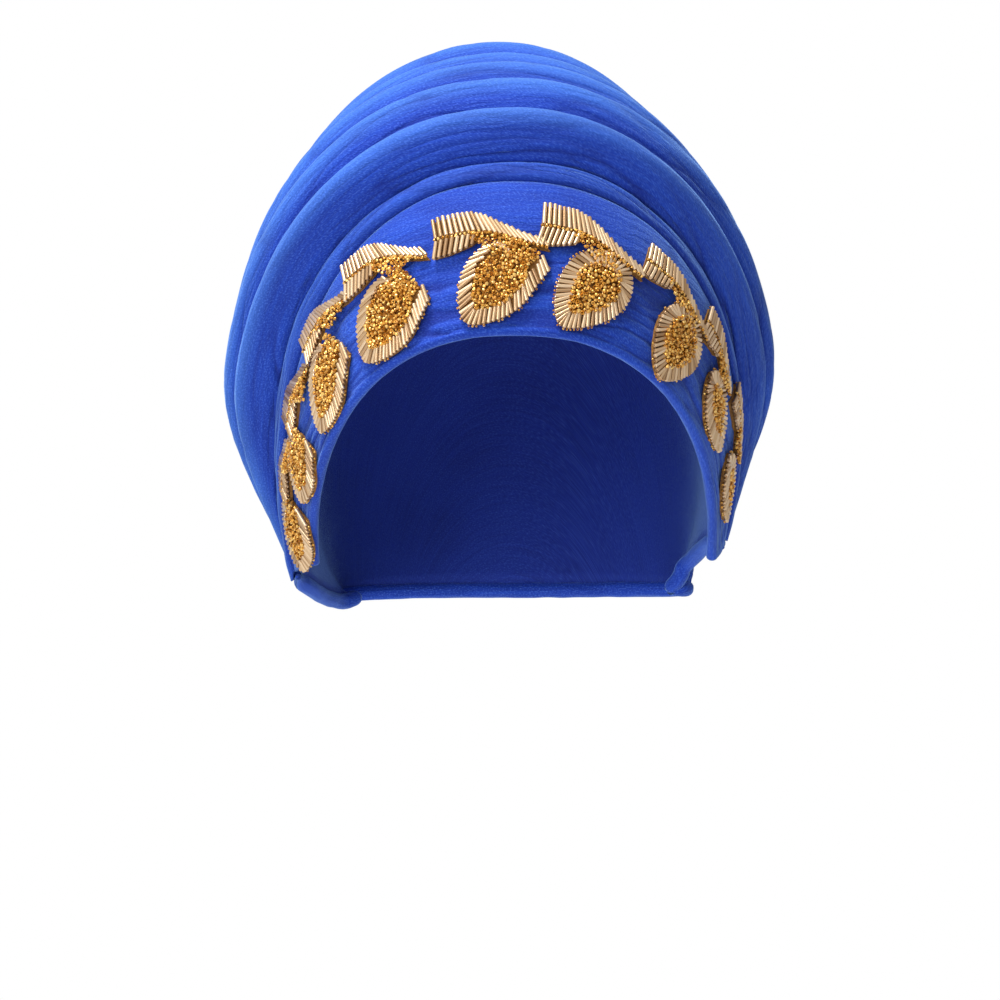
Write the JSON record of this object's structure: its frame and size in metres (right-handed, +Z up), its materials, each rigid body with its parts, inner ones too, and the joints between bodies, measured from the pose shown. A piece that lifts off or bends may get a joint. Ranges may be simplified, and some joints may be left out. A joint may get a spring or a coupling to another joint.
{
  "type": "pleated head wrap with a beaded leaf garland",
  "caption": "Ready-tied pleated head wrap in royal blue crinkled cloth, with a gathered forehead band and a gold beaded leaf garland.",
  "frame": {"origin": "centre of the head opening at brow level, where the wrap sits on a head", "axes": "+Z up towards the crown, -Y the way the face looks, +X to the right in a front view"},
  "size_m": [0.2095, 0.2088, 0.2202],
  "materials": {
    "wrap_cloth": "matt crinkled crepe with a faint silk sheen",
    "cap_cloth": "smooth matt stretch cloth",
    "bead_gold": "glossy gold-lined glass beads on a backing"
  },
  "bodies": {
    "root": {"cap": "cap_cloth", "front_band": "wrap_cloth", "lip_fold": "wrap_cloth", "fold_1": "wrap_cloth", "fold_2": "wrap_cloth", "fold_3": "wrap_cloth", "fold_4": "wrap_cloth", "crown_fold": "wrap_cloth", "back_fold_1": "wrap_cloth", "back_fold_2": "wrap_cloth", "back_fold_3": "wrap_cloth", "back_panel": "wrap_cloth", "nape_roll": "wrap_cloth", "leaf_1": "bead_gold", "spray_1": "bead_gold", "leaf_2": "bead_gold", "spray_2": "bead_gold", "leaf_3": "bead_gold", "spray_3": "bead_gold", "leaf_4": "bead_gold", "spray_4": "bead_gold", "leaf_5": "bead_gold", "spray_5": "bead_gold", "leaf_6": "bead_gold", "spray_6": "bead_gold", "leaf_7": "bead_gold", "spray_7": "bead_gold", "leaf_8": "bead_gold", "spray_8": "bead_gold", "leaf_9": "bead_gold", "spray_9": "bead_gold"}
  },
  "joints": []
}
